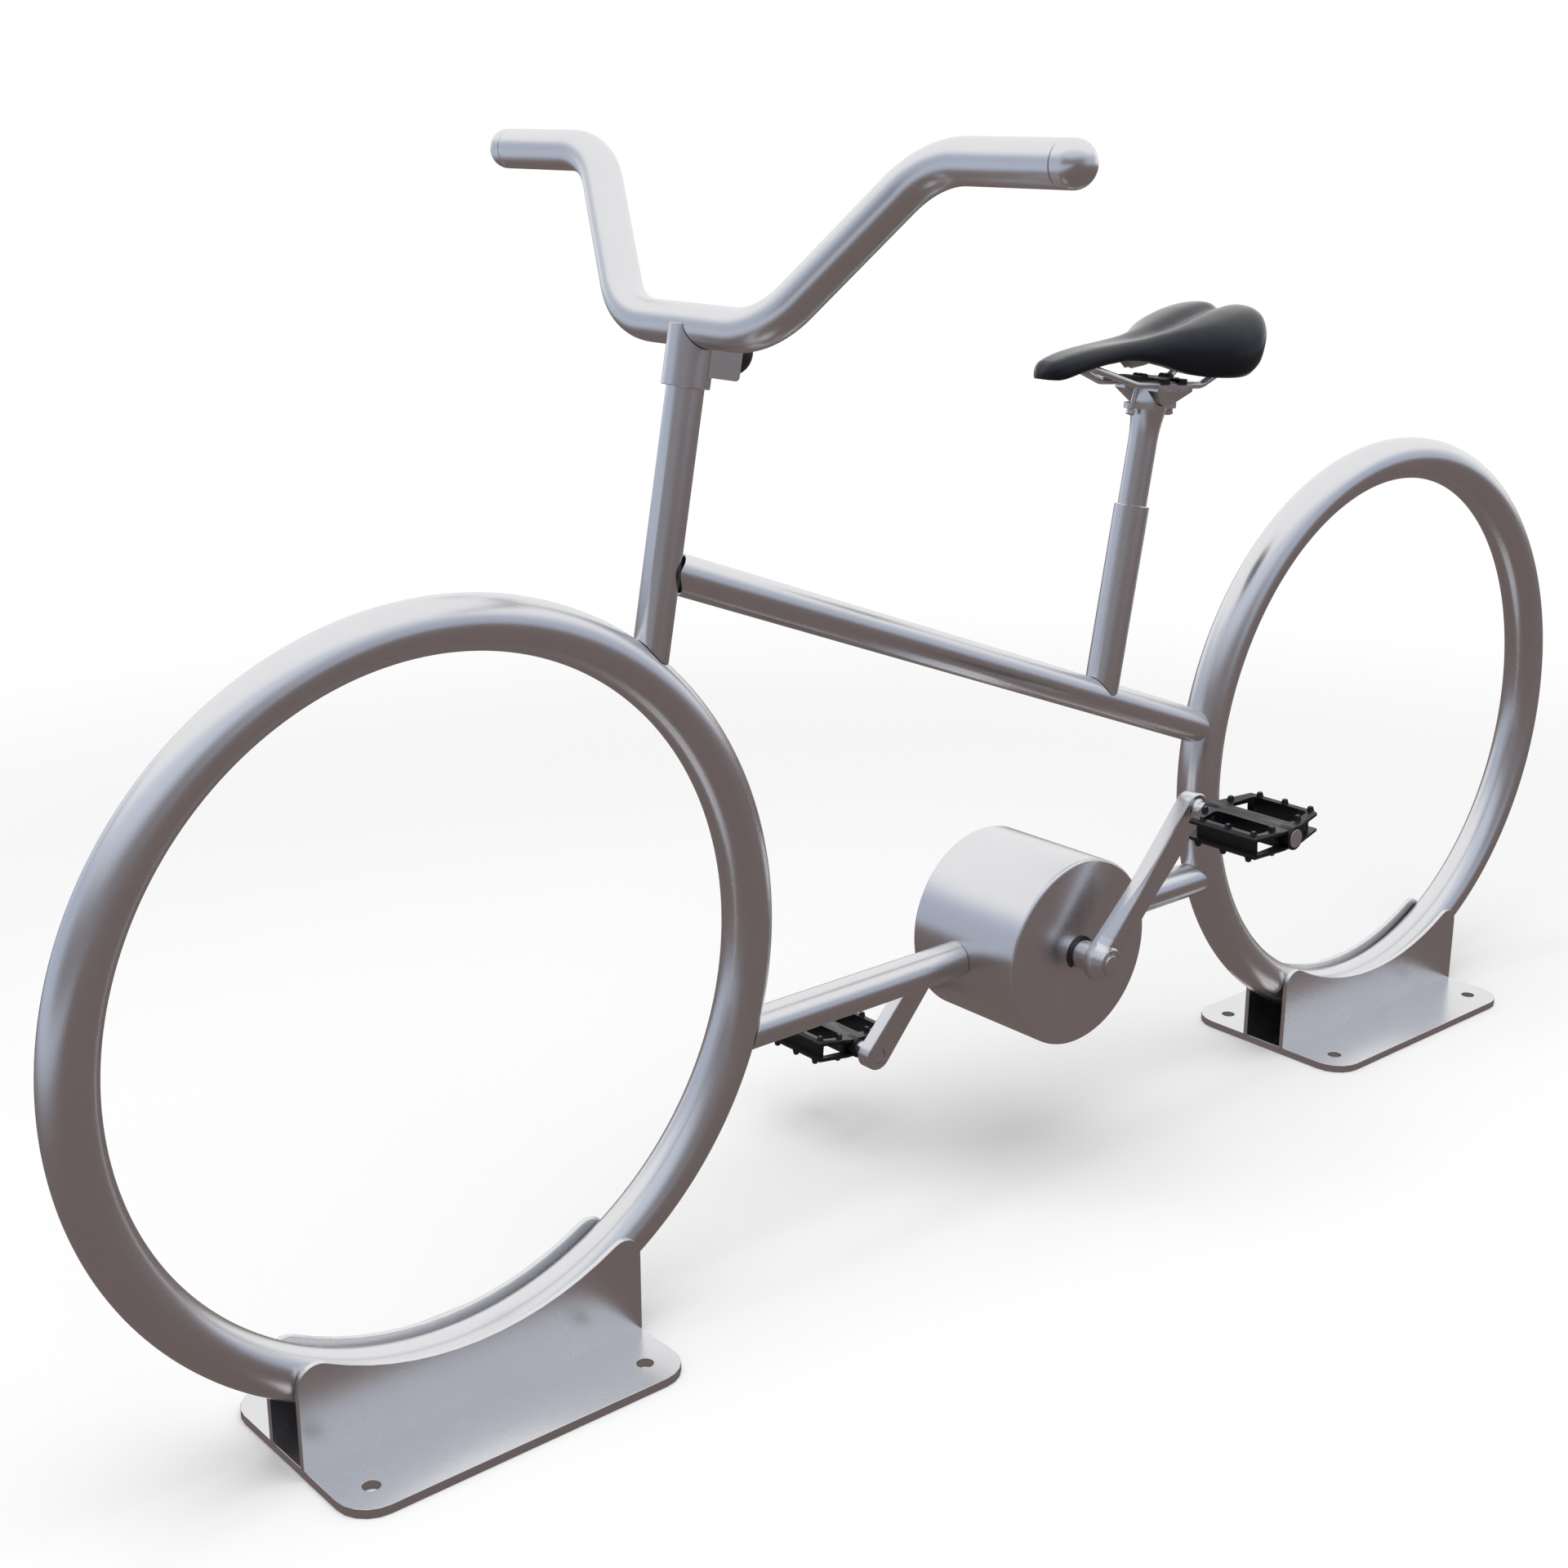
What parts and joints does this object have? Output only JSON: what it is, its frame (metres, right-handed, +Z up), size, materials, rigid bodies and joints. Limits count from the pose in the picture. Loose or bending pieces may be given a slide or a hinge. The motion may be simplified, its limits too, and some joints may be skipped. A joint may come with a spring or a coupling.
{
  "type": "outdoor exercise bike",
  "caption": "Outdoor exercise bike: tube rings on bolted foot plates, raked tube frame, drive drum with cranks and platform pedals, raised handlebar and sliding saddle.",
  "frame": {"origin": "on the ground, midway between the two rings", "axes": "+X forward towards the handlebar, +Y to the rider's left, +Z up"},
  "size_m": [1.8432, 0.7, 0.9802],
  "materials": {
    "satin_steel": "satin",
    "dark_steel": "dull",
    "bright_aluminium": "bright satin",
    "black_nylon": "moulded",
    "shell_plastic": "moulded",
    "black_rubber": "matt",
    "saddle_cover": "semi-gloss synthetic cover"
  },
  "bodies": {
    "frame": {"front_foot_plate": "satin_steel", "front_cheek_left": "satin_steel", "front_cheek_right": "satin_steel", "rear_foot_plate": "satin_steel", "rear_cheek_left": "satin_steel", "rear_cheek_right": "satin_steel", "front_ring": "satin_steel", "rear_ring": "satin_steel", "head_column": "satin_steel", "stem_sleeve": "satin_steel", "handlebar": "satin_steel", "bar_plug_left": "satin_steel", "bar_plug_right": "satin_steel", "control_housing": "satin_steel", "top_tube": "satin_steel", "seat_tube": "satin_steel", "seat_post_screw": "dark_steel", "front_lower_tube": "satin_steel", "rear_lower_tube": "satin_steel", "drum_shell": "satin_steel", "drum_cover_left": "satin_steel", "drum_cover_right": "satin_steel", "stator": "dark_steel", "bearing_left": "dark_steel", "bearing_right": "dark_steel", "retaining_clip_left": "dark_steel", "retaining_clip_right": "dark_steel"},
    "knob": {"control_knob": "black_rubber"},
    "seat": {"seat_post": "satin_steel", "clamp_cradle": "bright_aluminium", "clamp_top": "black_nylon", "clamp_bolt_front": "bright_aluminium", "clamp_bolt_rear": "bright_aluminium", "barrel_nut_front": "dark_steel", "barrel_nut_rear": "dark_steel", "saddle_rail_left": "bright_aluminium", "saddle_rail_right": "bright_aluminium", "saddle_shell": "shell_plastic", "saddle_pad": "saddle_cover"},
    "crank": {"spindle": "bright_aluminium", "rotor": "dark_steel", "spindle_collar_left": "bright_aluminium", "spindle_collar_right": "bright_aluminium", "crank_left": "bright_aluminium", "crank_right": "bright_aluminium", "crank_cap_left": "bright_aluminium", "crank_cap_right": "bright_aluminium", "pedal_spindle_left": "bright_aluminium", "pedal_spindle_right": "bright_aluminium"},
    "left_pedal": {"pedal_body_left": "black_nylon", "pedal_cap_left": "bright_aluminium"},
    "right_pedal": {"pedal_body_right": "black_nylon", "pedal_cap_right": "bright_aluminium"}
  },
  "joints": [
    {"name": "crank_spin", "type": "hinge", "parent": "frame", "child": "crank", "pos_m": [-0.0459, 0.0068, 0.23775], "axis": [0, 1, 0], "continuous": true},
    {"name": "left_pedal_spin", "type": "hinge", "parent": "crank", "child": "left_pedal", "pos_m": [-0.15025, 0.1864, 0.36941], "axis": [0, 1, 0], "continuous": true},
    {"name": "right_pedal_spin", "type": "hinge", "parent": "crank", "child": "right_pedal", "pos_m": [0.05845, -0.1728, 0.10609], "axis": [0, 1, 0], "continuous": true},
    {"name": "seat_height", "type": "slide", "parent": "frame", "child": "seat", "axis": [-0.1822, 0, 0.9833], "range_m": [-0.04, 0.05]},
    {"name": "knob_turn", "type": "hinge", "parent": "frame", "child": "knob", "pos_m": [0.31574, 0, 0.81565], "axis": [-0.9833, 0, -0.1822], "range_deg": [-135, 135]}
  ]
}
